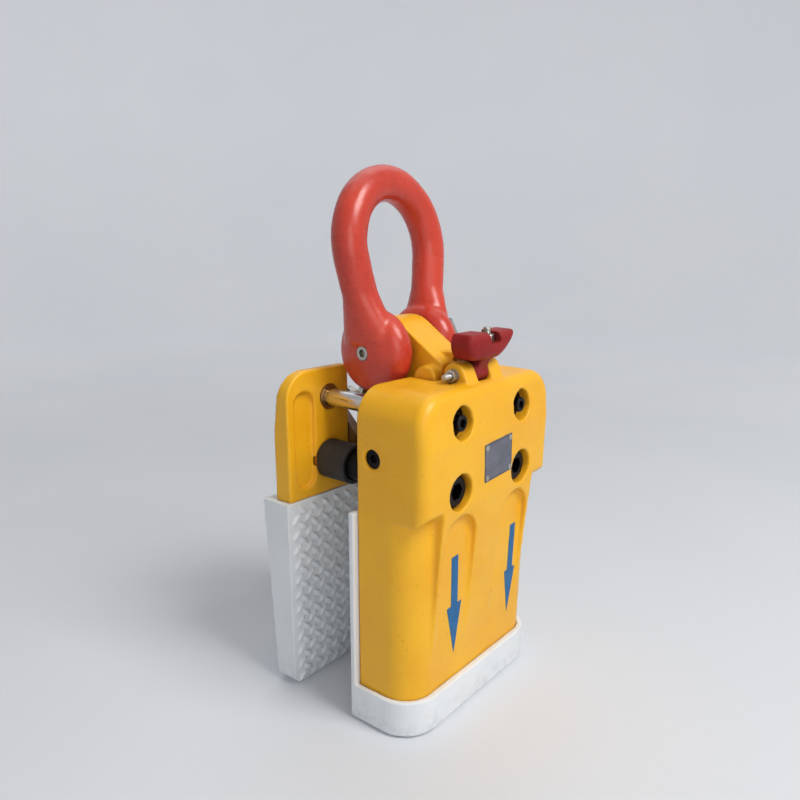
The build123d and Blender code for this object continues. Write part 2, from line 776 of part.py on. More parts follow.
with BuildPart() as shackle_bow:
    with BuildLine(bow_plane) as bow_line:
        Line((-eye_x, 0), (-leg_top[0], leg_top[1]))
        ThreePointArc((-leg_top[0], leg_top[1]), (0, crown_z + crown_radius), leg_top)
        Line(leg_top, (eye_x, 0))
    with BuildSketch(Plane(origin=bow_line.line @ 0, z_dir=bow_line.line % 0)):
        Circle(shackle_bar / 2)
    sweep(path=bow_line.line)
    for side in (-1, 1):
        with BuildSketch(bow_plane):
            with BuildLine():
                Line((side * eye_inner, 0), (side * eye_inner, eye_face_radius))
                ThreePointArc(
                    (side * eye_inner, eye_face_radius),
                    (side * bulge_x, eye_radius),
                    (side * face_x, eye_face_radius),
                )
                ThreePointArc(
                    (side * face_x, eye_face_radius),
                    (side * (eye_outer - (eye_outer - face_x) / 4), eye_face_radius / 2),
                    (side * eye_outer, 0),
                )
                Line((side * eye_outer, 0), (side * eye_inner, 0))
            make_face()
        revolve(axis=pin_axis)
    for side in (-1, 1):
        leg_way = bow_plane.x_dir * side * math.cos(leg_angle) + bow_plane.y_dir * math.sin(leg_angle)
        leg_foot = bow_plane.origin + bow_plane.x_dir * side * eye_x
        for height, depth, half in (
            (neck_start, neck_depth, eye_outer - eye_x),
            (neck_end, shackle_bar / 2, shackle_bar / 2),
        ):
            neck_origin = leg_foot + leg_way * height
            with BuildSketch(Plane(origin=neck_origin, x_dir=bow_plane.z_dir, z_dir=leg_way)):
                Ellipse(depth, half)
        loft()
    with BuildSketch(bow_plane):
        with Locations((0, (neck_end - eye_radius) / 2)):
            Rectangle(2 * eye_inner, neck_end + eye_radius)
    extrude(amount=2 * eye_radius, both=True, mode=Mode.SUBTRACT)
    with BuildSketch(side_plane(-eye_outer + eye_end_wall)):
        with Locations((lug_y, pin_z)):
            Circle(pin_diameter / 2 + seat)
    extrude(amount=2 * eye_outer, mode=Mode.SUBTRACT)
    with BuildSketch(side_plane(-eye_outer)):
        with Locations((lug_y, pin_z)):
            Circle(lock_screw / 2 + running)
    extrude(amount=eye_width, mode=Mode.SUBTRACT)
    with BuildSketch(side_plane(-eye_outer)):
        with Locations((lug_y, pin_z)):
            Circle(lock_head / 2 + running)
    extrude(amount=lock_dimple, mode=Mode.SUBTRACT)
    with BuildSketch(side_plane(eye_outer - pin_seat_depth)):
        with Locations((lug_y, pin_z)):
            Circle(eye_radius)
    extrude(amount=shackle_bar, mode=Mode.SUBTRACT)
save(shackle_bow, "shackle_bow")

pin_end_x = -eye_outer + eye_end_wall + running
with BuildPart() as shackle_pin:
    with BuildSketch(side_plane(pin_end_x)):
        with Locations((lug_y, pin_z)):
            Circle(pin_diameter / 2)
    extrude(amount=eye_outer - pin_seat_depth - pin_end_x)
    with BuildSketch(side_plane(eye_outer - pin_seat_depth)):
        with Locations((lug_y, pin_z)):
            RegularPolygon(pin_head_width / math.sqrt(3), 6)
    extrude(amount=pin_head_height)
    chamfer(shackle_pin.faces().sort_by(Axis.X)[-1].edges(), pin_head_height / 8)
    with BuildSketch(side_plane(pin_end_x)):
        with Locations((lug_y, pin_z)):
            Circle(lock_screw / 2 + seat)
    extrude(amount=lock_depth, mode=Mode.SUBTRACT)
save(shackle_pin, "shackle_pin")

lock_seat_x = -eye_outer + lock_dimple
with BuildPart() as shackle_lock_screw:
    with BuildSketch(side_plane(lock_seat_x)):
        with Locations((lug_y, pin_z)):
            Circle(lock_screw / 2)
    extrude(amount=pin_end_x - lock_seat_x + lock_depth)
    with BuildSketch(side_plane(lock_seat_x)):
        with Locations((lug_y, pin_z)):
            Circle(lock_head / 2)
    extrude(amount=-lock_head_height)
    with BuildSketch(side_plane(lock_seat_x - lock_head_height)):
        with Locations((lug_y, pin_z)):
            RegularPolygon(lock_head / 3.4, 6)
    extrude(amount=lock_head_height / 2, mode=Mode.SUBTRACT)
save(shackle_lock_screw, "shackle_lock_screw")

# Latch lever: hub between the ears, hook towards the lug's nose, and a wide half-moon head
hook_floor = nose_top - latch_z + hook_clearance
hook_reach = lug_front_y - latch_y - hook_clearance - air
stem_back = nose_front_y - latch_y - stem_clearance
with BuildPart() as latch_lever:
    with BuildSketch(front_plane(head_back_y)):
        with BuildLine():
            Line((-0.57 * head_left, head_bottom), (0.3 * head_right, head_bottom))
            ThreePointArc(
                (0.3 * head_right, head_bottom),
                (0.74 * head_right, head_bottom + 0.4 * (head_top - head_bottom)),
                (head_right, head_top),
            )
            Line((head_right, head_top), (-0.9 * head_left, head_top))
            TangentArc((-0.57 * head_left, head_bottom), (-0.9 * head_left, head_top), tangent=(-1, 0))
        make_face()
    extrude(amount=head_depth)
    fillet(latch_lever.edges().group_by(Axis.Y)[0], head_edge)
    with BuildSketch(Plane.YZ):
        with Locations((latch_y, latch_z)):
            Polygon(
                (-stem_back, 0),
                (stem_back, 0),
                (stem_back, hook_floor),
                (hook_reach, hook_floor),
                (hook_reach, hook_floor + hook_thickness),
                (stem_back, hook_floor + 2 * hook_thickness),
                (-stem_back, hook_floor + hook_thickness),
                rotation=latch_swing,
                align=None,
            )
    extrude(amount=hook_half, both=True)
    with BuildSketch(Plane.YZ):
        with Locations((latch_y, latch_z)):
            Circle(hub_radius)
    extrude(amount=hub_half, both=True)
    with BuildSketch(Plane.YZ):
        with Locations((latch_y, latch_z)):
            Circle(latch_bolt / 2 + latch_bush_wall)
    extrude(amount=hub_half, both=True, mode=Mode.SUBTRACT)
    with Locations((latch_notch_x, head_back_y - head_depth / 2, head_top)):
        Box(
            latch_notch_width,
            head_depth * 2,
            latch_notch_depth,
            align=(Align.CENTER, Align.CENTER, Align.MAX),
            mode=Mode.SUBTRACT,
        )
    with BuildSketch(Plane.XY.offset(head_top)):
        with Locations((latch_notch_x, head_back_y - head_depth / 2)):
            Circle(stop_bolt / 2 + seat)
    extrude(amount=head_bottom - head_top, mode=Mode.SUBTRACT)
save(latch_lever, "latch_lever")

with BuildPart() as latch_lever_bush:
    with BuildSketch(Plane.YZ):
        with Locations((latch_y, latch_z)):
            Circle(latch_bolt / 2 + latch_bush_wall - seat)
            Circle(latch_bolt / 2 + running, mode=Mode.SUBTRACT)
    extrude(amount=hub_half, both=True)
save(latch_lever_bush, "latch_lever_bush")

stop_bolt_y = head_back_y - head_depth / 2
notch_floor = head_top - latch_notch_depth
with BuildPart() as latch_stop_bolt:
    with BuildSketch(Plane.XY.offset(head_bottom)):
        with Locations((latch_notch_x, stop_bolt_y)):
            Circle(stop_bolt / 2)
    extrude(amount=head_top + stop_bolt / 2 - head_bottom)
save(latch_stop_bolt, "latch_stop_bolt")

with BuildPart() as latch_stop_nut:
    with BuildSketch(Plane.XY.offset(notch_floor)):
        with Locations((latch_notch_x, stop_bolt_y)):
            RegularPolygon(0.96 * stop_bolt, 6)
            Circle(stop_bolt / 2 + seat, mode=Mode.SUBTRACT)
    extrude(amount=stop_bolt)
save(latch_stop_nut, "latch_stop_nut")

# Rear jaw: tongue inside the boot, tapered upper jaw with a central slot between two cheeks
upper_bush_radius = upper_rod_diameter / 2 + bush_wall
lower_bush_radius = lower_rod_diameter / 2 + bush_wall
with BuildPart() as rear_jaw:
    with BuildSketch(Plane.YZ):
        with BuildLine():
            Polyline(
                (jaw_inner_y, rear_pad_top),
                (tongue_back_y, rear_pad_top),
                (tongue_back_y - jaw_waist_taper / 4, jaw_waist_z),
                (jaw_inner_y + jaw_top_thickness, jaw_top),
                (jaw_inner_y, jaw_top),
                close=True,
            )
        make_face()
    extrude(amount=jaw_width / 2, both=True)
    with BuildSketch(Plane.XZ) as rear_front:
        with Locations((0, jaw_top / 2)):
            Rectangle(jaw_width, jaw_top)
        fillet(rear_front.vertices().group_by(Axis.Y)[-1], jaw_shoulder_radius)
    extrude(amount=rear_back_y + front_depth, both=True, mode=Mode.INTERSECT)
    with Locations((0, (tongue_front_y + tongue_back_y) / 2, boot_floor)):
        Box(
            jaw_width - 2 * tongue_margin,
            tongue_thickness,
            rear_pad_top - boot_floor,
            align=(Align.CENTER, Align.CENTER, Align.MIN),
        )
    for cheek_x in (-slot_half - cheek_thickness, slot_half):
        with BuildSketch(side_plane(cheek_x)):
            with BuildLine():
                Polyline(
                    (jaw_inner_y, rear_pad_top),
                    (tongue_back_y, rear_pad_top),
                    (cheek_back_y, slot_floor),
                    (cheek_back_y, drive_z + closing + cam_radius),
                    (jaw_inner_y + jaw_top_thickness, jaw_top - cheek_thickness),
                    (jaw_inner_y, jaw_top - cheek_thickness),
                    close=True,
                )
            make_face()
        extrude(amount=cheek_thickness)
    for rods, bush_radius in ((upper_rods, upper_bush_radius), (lower_rods, lower_bush_radius)):
        with BuildSketch(front_plane(jaw_inner_y)):
            with Locations(*rods):
                Circle(bush_radius + rod_boss_wall)
        extrude(amount=jaw_inner_y - rod_end_y)
    with Locations((0, jaw_inner_y, slot_floor)):
        Box(
            2 * slot_half,
            2 * rear_depth,
            jaw_top - slot_floor,
            align=(Align.CENTER, Align.CENTER, Align.MIN),
            mode=Mode.SUBTRACT,
        )
    for rods, bush_radius in ((upper_rods, upper_bush_radius), (lower_rods, lower_bush_radius)):
        with BuildSketch(front_plane(jaw_inner_y)):
            with Locations(*rods):
                Circle(bush_radius)
        extrude(amount=-rear_depth, mode=Mode.SUBTRACT)
    pocket_top = jaw_top - pocket_drop
    pocket_bottom = rear_pad_top + pocket_drop / 2
    with BuildSketch(front_plane(jaw_inner_y)):
        with Locations(*[(side * pocket_x, (pocket_top + pocket_bottom) / 2) for side in (-1, 1)]):
            SlotOverall(pocket_top - pocket_bottom, pocket_width, rotation=90)
    extrude(amount=-pocket_depth, mode=Mode.SUBTRACT)
    cam_screw_places = [
        (jaw_inner_y + 0.7 * cam_screw, drive_z + cam_screw_rise),
        (jaw_inner_y + 2.2 * cam_screw, drive_z + cam_screw_rise + 1.7 * cam_screw),
    ]
    with BuildSketch(side_plane(-slot_half - cheek_thickness)):
        with Locations(*cam_screw_places):
            Circle(cam_screw / 2 + seat)
    extrude(amount=2 * (slot_half + cheek_thickness), mode=Mode.SUBTRACT)
save(rear_jaw, "rear_jaw")

# Rear boot: tapered rubber shoe over the tongue, with the same tread
rear_base_y = rear_grip_y + tread_height
with BuildPart() as rear_boot:
    with BuildSketch(Plane.YZ):
        with BuildLine():
            Polyline(
                (rear_base_y, 0),
                (rear_back_y - rear_boot_taper, 0),
                (rear_back_y, rear_pad_top),
                (rear_base_y, rear_pad_top),
                close=True,
            )
        make_face()
    extrude(amount=boot_width / 2, both=True)
    chamfer(rear_boot.edges().filter_by(Axis.Y).group_by(Axis.Z)[0], boot_corner_cut)
    chamfer(rear_boot.faces().sort_by(Axis.Z)[0].edges().filter_by(Axis.X), boot_edge)
    with Locations((0, (tongue_front_y + tongue_back_y) / 2, boot_floor)):
        Box(
            jaw_width - 2 * tongue_margin + 2 * rubber_clearance,
            tongue_thickness + 2 * rubber_clearance,
            rear_pad_top - boot_floor,
            align=(Align.CENTER, Align.CENTER, Align.MIN),
            mode=Mode.SUBTRACT,
        )
    with BuildSketch(front_plane(rear_base_y)):
        tread_rows = int((rear_pad_top - 2 * tread_margin) / (2 * tread_pitch))
        for dx, dz, turn in tread_offsets:
            with Locations((dx * tread_pitch, rear_pad_top / 2 + dz * tread_pitch)):
                with GridLocations(2 * tread_pitch, 2 * tread_pitch, tread_columns, tread_rows):
                    Polygon(*lozenge, rotation=turn, align=None)
    extrude(amount=tread_height)
save(rear_boot, "rear_boot")

# Cam plates: the slanted slot turns the lug's lift into the rear jaw's travel
for side, plate_x in (("left", -cam_half), ("right", cam_inner)):
    with BuildPart() as cam_plate:
        with BuildSketch(side_plane(plate_x)):
            with Locations((drive_y + closing / 2, drive_z + closing / 2)):
                SlotCenterToCenter(closing * math.sqrt(2), 2 * cam_radius, rotation=45)
            with BuildLine():
                Polyline(
                    (jaw_inner_y - cam_radius, drive_z),
                    (cam_back_y, drive_z - 0.8 * cam_radius),
                    (cam_back_y, drive_z + closing),
                    (jaw_inner_y - cam_radius, drive_z + closing),
                    close=True,
                )
            make_face()
            with Locations((drive_y + closing / 2, drive_z + closing / 2)):
                SlotCenterToCenter(
                    closing * math.sqrt(2) + air,
                    roller_diameter + 2 * running,
                    rotation=45,
                    mode=Mode.SUBTRACT,
                )
            with Locations(*cam_screw_places):
                Circle(cam_screw / 2 + seat, mode=Mode.SUBTRACT)
        extrude(amount=cam_thickness)
        outward = math.copysign(1, plate_x)
        for y, z in cam_screw_places:
            head_origin = (outward * cam_inner, y, z)
            with BuildSketch(Plane(origin=head_origin, x_dir=(0, 1, 0), z_dir=(outward, 0, 0))):
                Circle(0.9 * cam_screw + seat)
            extrude(amount=0.4 * cam_screw, taper=45, mode=Mode.SUBTRACT)
    save(cam_plate, f"cam_plate_{side}")

with BuildPart() as cam_plate_screws:
    for side in (-1, 1):
        for y, z in cam_screw_places:
            with BuildSketch(Plane(origin=(0, y, z), x_dir=(1, 0, 0), z_dir=(0, 0, 1))):
                with BuildLine():
                    Polyline(
                        (side * cam_inner, 0),
                        (side * cam_inner, 0.9 * cam_screw),
                        (side * (cam_inner + 0.4 * cam_screw), cam_screw / 2),
                        (side * (cam_inner + cam_screw_length), cam_screw / 2),
                        (side * (cam_inner + cam_screw_length), 0),
                        close=True,
                    )
                make_face()
            revolve(axis=Axis((0, y, z), (1, 0, 0)))
save(cam_plate_screws, "cam_plate_screws")

for row, rods, rod in (
    ("upper", upper_rods, upper_rod_diameter),
    ("lower", lower_rods, lower_rod_diameter),
):
    with BuildPart() as rod_bushes:
        with BuildSketch(front_plane(jaw_inner_y)):
            with Locations(*rods):
                Circle(rod / 2 + bush_wall - seat)
                Circle(rod / 2 + running, mode=Mode.SUBTRACT)
        extrude(amount=jaw_inner_y - rod_end_y)
    save(rod_bushes, f"{row}_rod_bushes")

with BuildPart() as rod_buffers:
    with BuildSketch(front_plane(jaw_inner_y)):
        with Locations(*lower_rods):
            Circle(buffer_diameter / 2)
            Circle(lower_rod_diameter / 2 + running * 3, mode=Mode.SUBTRACT)
    extrude(amount=jaw_inner_y - casing_back_y - closing - buffer_gap)
save(rod_buffers, "rod_buffers")
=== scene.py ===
"""Looks of the slab lifting clamp: painted castings, white rubber boots, a red bow shackle."""

import json
import math

import bmesh
import bpy
from mathutils import Matrix, Vector, noise


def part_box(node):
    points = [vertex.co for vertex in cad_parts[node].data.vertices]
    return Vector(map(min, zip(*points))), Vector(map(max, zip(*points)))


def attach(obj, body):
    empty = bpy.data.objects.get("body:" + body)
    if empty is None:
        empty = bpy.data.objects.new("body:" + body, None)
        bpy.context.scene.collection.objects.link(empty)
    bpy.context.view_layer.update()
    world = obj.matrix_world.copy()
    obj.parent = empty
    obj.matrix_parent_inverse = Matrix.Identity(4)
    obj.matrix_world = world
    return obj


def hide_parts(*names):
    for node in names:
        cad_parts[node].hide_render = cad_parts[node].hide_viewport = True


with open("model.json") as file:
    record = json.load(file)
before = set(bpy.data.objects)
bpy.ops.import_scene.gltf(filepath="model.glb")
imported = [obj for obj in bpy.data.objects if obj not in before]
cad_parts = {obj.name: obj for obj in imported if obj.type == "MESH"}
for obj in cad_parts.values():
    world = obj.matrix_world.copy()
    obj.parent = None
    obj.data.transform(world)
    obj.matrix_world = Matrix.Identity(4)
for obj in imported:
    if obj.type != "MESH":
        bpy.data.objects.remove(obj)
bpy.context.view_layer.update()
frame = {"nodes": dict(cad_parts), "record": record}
nodes = frame["nodes"]
scene = bpy.context.scene
MM = 0.001
WHITE = (1.0, 1.0, 1.0)
EVEN = (1.0, 1.0, 1.0)
X, Y, Z = range(3)


# Node helpers

class Graph:
    """A material's node tree with short calls to add and join nodes."""

    # The mix node's colour sockets go by number, because their names repeat.
    MIX_FIRST, MIX_SECOND, MIX_RESULT = 6, 7, 2
    # Rays that the bevel and occlusion nodes send out for one point.
    RAYS = 6

    def __init__(self, name):
        self.material = bpy.data.materials.new(name)
        self.material.use_nodes = True
        self.tree = self.material.node_tree
        self.tree.nodes.clear()
        self.shader = self.add("ShaderNodeBsdfPrincipled")
        output = self.add("ShaderNodeOutputMaterial")
        self.join(self.shader.outputs["BSDF"], output.inputs["Surface"])
        self.place = self.add("ShaderNodeTexCoord").outputs["Object"]

    def add(self, kind, **values):
        node = self.tree.nodes.new(kind)
        for key, value in values.items():
            setattr(node, key, value)
        return node

    def join(self, source, target):
        """Links a socket to another, or sets a constant on it."""
        if hasattr(source, "is_linked"):
            self.tree.links.new(source, target)
        else:
            target.default_value = source

    def stretch(self, scale):
        """Object coordinates scaled by axis; a small scale draws a texture out along its axis."""
        mapping = self.add("ShaderNodeMapping")
        self.join(self.place, mapping.inputs["Vector"])
        mapping.inputs["Scale"].default_value = scale
        return mapping.outputs["Vector"]

    def noise(self, scale, detail=3.0, rough=0.55, vector=None, distortion=0.0):
        node = self.add("ShaderNodeTexNoise")
        self.join(vector or self.place, node.inputs["Vector"])
        node.inputs["Scale"].default_value = scale
        node.inputs["Detail"].default_value = detail
        node.inputs["Roughness"].default_value = rough
        node.inputs["Distortion"].default_value = distortion
        return node.outputs["Fac"]

    def remap(self, value, low, high, to_low=0.0, to_high=1.0):
        node = self.add("ShaderNodeMapRange", interpolation_type="SMOOTHSTEP")
        self.join(value, node.inputs["Value"])
        node.inputs["From Min"].default_value = low
        node.inputs["From Max"].default_value = high
        node.inputs["To Min"].default_value = to_low
        node.inputs["To Max"].default_value = to_high
        return node.outputs["Result"]

    def math(self, operation, first, second):
        node = self.add("ShaderNodeMath", operation=operation, use_clamp=True)
        self.join(first, node.inputs[0])
        self.join(second, node.inputs[1])
        return node.outputs["Value"]

    def blend(self, factor, first, second):
        node = self.add("ShaderNodeMix", data_type="RGBA", blend_type="MIX")
        self.join(factor, node.inputs["Factor"])
        self.join(first, node.inputs[self.MIX_FIRST])
        self.join(second, node.inputs[self.MIX_SECOND])
        return node.outputs[self.MIX_RESULT]

    def height(self):
        node = self.add("ShaderNodeSeparateXYZ")
        self.join(self.place, node.inputs["Vector"])
        return node.outputs["Z"]

    def distance(self):
        """Distance from the origin."""
        node = self.add("ShaderNodeVectorMath", operation="LENGTH")
        self.join(self.place, node.inputs[0])
        return node.outputs["Value"]

    def edges(self, radius):
        """Rounded normal near edges, and a mask that is 1 on the edges."""
        bevel = self.add("ShaderNodeBevel", samples=self.RAYS)
        bevel.inputs["Radius"].default_value = radius
        surface = self.add("ShaderNodeNewGeometry")
        dot = self.add("ShaderNodeVectorMath", operation="DOT_PRODUCT")
        self.join(bevel.outputs["Normal"], dot.inputs[0])
        self.join(surface.outputs["Normal"], dot.inputs[1])
        return bevel.outputs["Normal"], self.remap(dot.outputs["Value"], low=0.995, high=0.93)

    def crevice(self, distance):
        """Mask that is 1 in corners and hollows no wider than the distance."""
        node = self.add("ShaderNodeAmbientOcclusion", samples=self.RAYS)
        node.inputs["Distance"].default_value = distance
        return self.remap(node.outputs["AO"], low=0.75, high=0.25)

    def bump(self, heights, normal=None):
        """Stacks bumps given as (height socket, distance in mm, strength)."""
        for value, distance, strength in heights:
            node = self.add("ShaderNodeBump")
            node.inputs["Strength"].default_value = strength
            node.inputs["Distance"].default_value = distance * MM
            self.join(value, node.inputs["Height"])
            if normal is not None:
                self.join(normal, node.inputs["Normal"])
            normal = node.outputs["Normal"]
        self.join(normal, self.shader.inputs["Normal"])

    def finish(self, colour, rough, metallic=0.0, **constants):
        self.join(colour, self.shader.inputs["Base Color"])
        self.join(rough, self.shader.inputs["Roughness"])
        self.join(metallic, self.shader.inputs["Metallic"])
        for key, value in constants.items():
            self.shader.inputs[key.replace("_", " ")].default_value = value
        return self.material


def rgb(red, green, blue):
    """Linear colour from the 0 to 255 values seen on a screen."""
    def linear(value):
        value /= 255.0
        return value / 12.92 if value <= 0.04045 else ((value + 0.055) / 1.055) ** 2.4

    return (linear(red), linear(green), linear(blue), 1.0)


# Materials

def paint(name, colour, faded, grime_and_shade, bare, gloss, cast, chips, shine):
    """Sprayed paint on cast or forged steel: mottled, streaked with grime, darkened in corners as
    painted shade, and with chipped edges.

    gloss is the mean roughness, cast the height of the unevenness, chips the noise level above
    which an edge is bare, and shine the strength of the reflections.
    """
    g = Graph(name)
    normal, edge = g.edges(1.2 * MM)

    mottled = g.remap(g.noise(scale=14.0, detail=4.0, rough=0.6), 0.35, 0.7)
    tone = g.blend(mottled, colour, faded)
    specks = g.remap(g.noise(scale=420.0, detail=2.0, rough=0.5), 0.66, 0.74, 0.0, 0.35)
    tone = g.blend(specks, tone, grime_and_shade)
    upright = g.stretch((1.0, 1.0, 0.18))
    rubbed = g.noise(scale=30.0, detail=5.0, rough=0.7, vector=upright, distortion=0.6)
    tone = g.blend(g.remap(rubbed, 0.62, 0.78, 0.0, 0.28), tone, grime_and_shade)
    patchy = g.remap(g.noise(scale=90.0, detail=4.0), 0.3, 0.65, 0.25, 0.85)
    # Corners and hollows darken towards the grime colour in patches: painted shade.
    shaded_hollows = g.math("MULTIPLY", g.crevice(10.0 * MM), patchy)
    tone = g.blend(shaded_hollows, tone, grime_and_shade)

    flaked = g.remap(g.noise(scale=110.0, detail=5.0, rough=0.65), chips, chips + 0.07)
    worn = g.math("MULTIPLY", edge, flaked)
    pits = g.remap(g.noise(scale=65.0, detail=6.0, rough=0.75), chips + 0.19, chips + 0.21)
    lost = g.math("MAXIMUM", worn, pits)
    tone = g.blend(lost, tone, bare)

    rough = g.remap(g.noise(scale=38.0, detail=4.0), 0.3, 0.7, gloss - 0.06, gloss + 0.1)
    dull = g.math("MULTIPLY", g.math("MAXIMUM", shaded_hollows, lost), 0.25)
    rough = g.math("ADD", rough, dull)
    g.bump(
        [
            (g.noise(scale=55.0, detail=3.0), 0.6 * cast, 0.25),
            (g.noise(scale=320.0, detail=2.0), 0.16 * cast, 0.3),
            (g.math("SUBTRACT", 1.0, lost), 0.12, 0.5),
        ],
        normal,
    )
    return g.finish(
        tone, rough, Specular_IOR_Level=shine, Coat_Weight=0.1 * shine, Coat_Roughness=0.25
    )


def rubber(name, colour, stain, scuff_and_shade, gloss):
    """Moulded rubber: blotchy, stained near the ground, darkened in the tread as painted shade,
    scuffed on its edges.
    """
    g = Graph(name)
    normal, edge = g.edges(0.8 * MM)

    blotches = g.remap(g.noise(scale=18.0, detail=5.0, rough=0.65), 0.35, 0.7, 0.0, 0.6)
    tone = g.blend(blotches, colour, stain)
    low = g.remap(g.height(), 30.0 * MM, 0.0, 0.0, 0.4)
    splashed = g.remap(g.noise(scale=90.0, detail=5.0, rough=0.7), 0.4, 0.7)
    low = g.math("MULTIPLY", low, splashed)
    # Hollows such as the tread darken towards the scuff colour: painted shade.
    hollow = g.math("MULTIPLY", g.crevice(5.0 * MM), 0.3)
    tone = g.blend(g.math("MAXIMUM", low, hollow), tone, scuff_and_shade)
    sideways = g.stretch((0.25, 1.0, 1.0))
    streaks = g.noise(scale=60.0, detail=4.0, rough=0.7, vector=sideways, distortion=0.4)
    tone = g.blend(g.remap(streaks, 0.66, 0.74, 0.0, 0.3), tone, scuff_and_shade)
    patchy = g.remap(g.noise(scale=150.0, detail=4.0, rough=0.7), 0.52, 0.62, 0.0, 0.6)
    tone = g.blend(g.math("MULTIPLY", edge, patchy), tone, scuff_and_shade)

    rough = g.remap(g.noise(scale=75.0, detail=3.0), 0.3, 0.7, gloss - 0.08, gloss + 0.08)
    g.bump(
        [
            (g.noise(scale=70.0, detail=4.0), 0.35, 0.3),
            (g.noise(scale=700.0, detail=2.0), 0.08, 0.4),
        ],
        normal,
    )
    return g.finish(tone, rough)


def metal(name, colour, dull, tarnish, gloss, grain=1.0, along=EVEN, spots=0.62):
    """Machined steel or bronze: fine tool marks, cloudy plating and some tarnish in corners.

    gloss is the mean roughness, grain the depth of the tool marks, along how they are drawn out by
    axis, and spots the noise level above which the metal is tarnished.
    """
    g = Graph(name)
    normal, edge = g.edges(0.5 * MM)

    cloudy = g.remap(g.noise(scale=60.0, detail=5.0, rough=0.6), 0.35, 0.7)
    tone = g.blend(cloudy, colour, dull)
    spotted = g.remap(g.noise(scale=140.0, detail=5.0, rough=0.7), spots, spots + 0.08)
    rust = g.math("MULTIPLY", spotted, 0.6)
    rust = g.math("MAXIMUM", rust, g.math("MULTIPLY", g.crevice(6.0 * MM), 0.6))
    tone = g.blend(rust, tone, tarnish)
    tone = g.blend(g.math("MULTIPLY", edge, 0.35), tone, colour)

    marks = g.noise(scale=900.0, detail=2.0, rough=0.5, vector=g.stretch(along))
    rough = g.remap(marks, 0.3, 0.7, gloss - 0.07, gloss + 0.09)
    rough = g.math("ADD", rough, g.math("MULTIPLY", rust, 0.3))
    g.bump(
        [
            (marks, 0.03 * grain, 0.35),
            (g.noise(scale=160.0, detail=3.0), 0.08 * grain, 0.2),
        ],
        normal,
    )
    return g.finish(tone, rough, metallic=1.0)


def printed(name, colour, faded):
    """Ink or foil film: slightly faded, rubbed through in small flecks."""
    g = Graph(name)
    tone = g.blend(g.remap(g.noise(scale=85.0, detail=4.0, rough=0.65), 0.35, 0.7), colour, faded)
    flecks = g.remap(g.noise(scale=380.0, detail=4.0, rough=0.7), 0.67, 0.72, 0.0, 0.5)
    tone = g.blend(flecks, tone, rgb(214, 178, 92))
    rough = g.remap(g.noise(scale=120.0, detail=3.0), 0.3, 0.7, 0.34, 0.5)
    g.bump([(g.noise(scale=420.0, detail=2.0), 0.05, 0.3)])
    return g.finish(tone, rough, Specular_IOR_Level=0.3)


PAINTS = {
    "yellow_paint": dict(
        colour=rgb(248, 185, 32),
        faded=rgb(243, 175, 27),
        grime_and_shade=rgb(182, 116, 24),
        bare=rgb(92, 78, 62),
        gloss=0.38,
        cast=0.8,
        chips=0.6,
        shine=0.4,
    ),
    "red_paint": dict(
        colour=rgb(207, 68, 47),
        faded=rgb(188, 57, 42),
        grime_and_shade=rgb(112, 37, 30),
        bare=rgb(108, 84, 72),
        gloss=0.27,
        cast=1.0,
        chips=0.64,
        shine=0.45,
    ),
    "dark_red_paint": dict(
        colour=rgb(148, 26, 24),
        faded=rgb(132, 22, 21),
        grime_and_shade=rgb(74, 16, 16),
        bare=rgb(112, 96, 88),
        gloss=0.5,
        cast=1.2,
        chips=0.54,
        shine=0.3,
    ),
}
RUBBERS = {
    "white_rubber": dict(
        colour=rgb(236, 239, 241), stain=rgb(227, 231, 233), scuff_and_shade=rgb(180, 180, 178), gloss=0.6
    ),
    "black_rubber": dict(
        colour=rgb(34, 34, 36), stain=rgb(46, 46, 48), scuff_and_shade=rgb(70, 68, 64), gloss=0.66
    ),
}
METALS = {
    "zinc_steel": dict(
        colour=rgb(190, 188, 180), dull=rgb(164, 160, 150), tarnish=rgb(98, 82, 62), gloss=0.34
    ),
    "bright_steel": dict(
        colour=rgb(212, 212, 212),
        dull=rgb(198, 198, 200),
        tarnish=rgb(158, 152, 144),
        gloss=0.22,
        grain=0.5,
        along=(1.0, 0.06, 1.0),
        spots=0.7,
    ),
    "black_steel": dict(
        colour=rgb(38, 38, 41),
        dull=rgb(28, 28, 30),
        tarnish=rgb(58, 46, 38),
        gloss=0.44,
        along=(1.0, 0.1, 1.0),
    ),
    "bronze": dict(
        colour=rgb(178, 138, 82), dull=rgb(156, 116, 66), tarnish=rgb(88, 62, 38), gloss=0.36
    ),
    "plate_metal": dict(
        colour=rgb(137, 138, 148),
        dull=rgb(123, 124, 134),
        tarnish=rgb(88, 88, 92),
        gloss=0.5,
        grain=0.8,
        along=(0.08, 1.0, 1.0),
        spots=0.7,
    ),
}
slot_materials = {name: paint(name, **look) for name, look in PAINTS.items()}
slot_materials.update((name, rubber(name, **look)) for name, look in RUBBERS.items())
slot_materials.update((name, metal(name, **look)) for name, look in METALS.items())
blue = printed("blue_film", rgb(6, 94, 150), rgb(18, 104, 160))
border = printed("dark_film", rgb(62, 64, 72), rgb(74, 76, 84))

node_slots = {part["node"]: part["material_slot"] for part in frame["record"]["subparts"]}
node_bodies = {
    node: body
    for body, names in frame["record"]["behaviour"]["bodies"].items()
    for node in names
}
for name, obj in nodes.items():
    obj.data.materials.clear()
    obj.data.materials.append(slot_materials[node_slots[name]])


# Pieces

def piece(name, mesh, material, body):
    """A finished mesh as an object that rides on a body, with the material it is given."""
    obj = bpy.data.objects.new(name, mesh)
    scene.collection.objects.link(obj)
    mesh.materials.append(material)
    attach(obj, body)
    return obj


def in_place_of(node, name, mesh):
    """A finished mesh in place of a node, on the node's body and with its material."""
    slot = node_slots[node]
    obj = piece(name, mesh, slot_materials[slot], node_bodies[node])
    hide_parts(node)


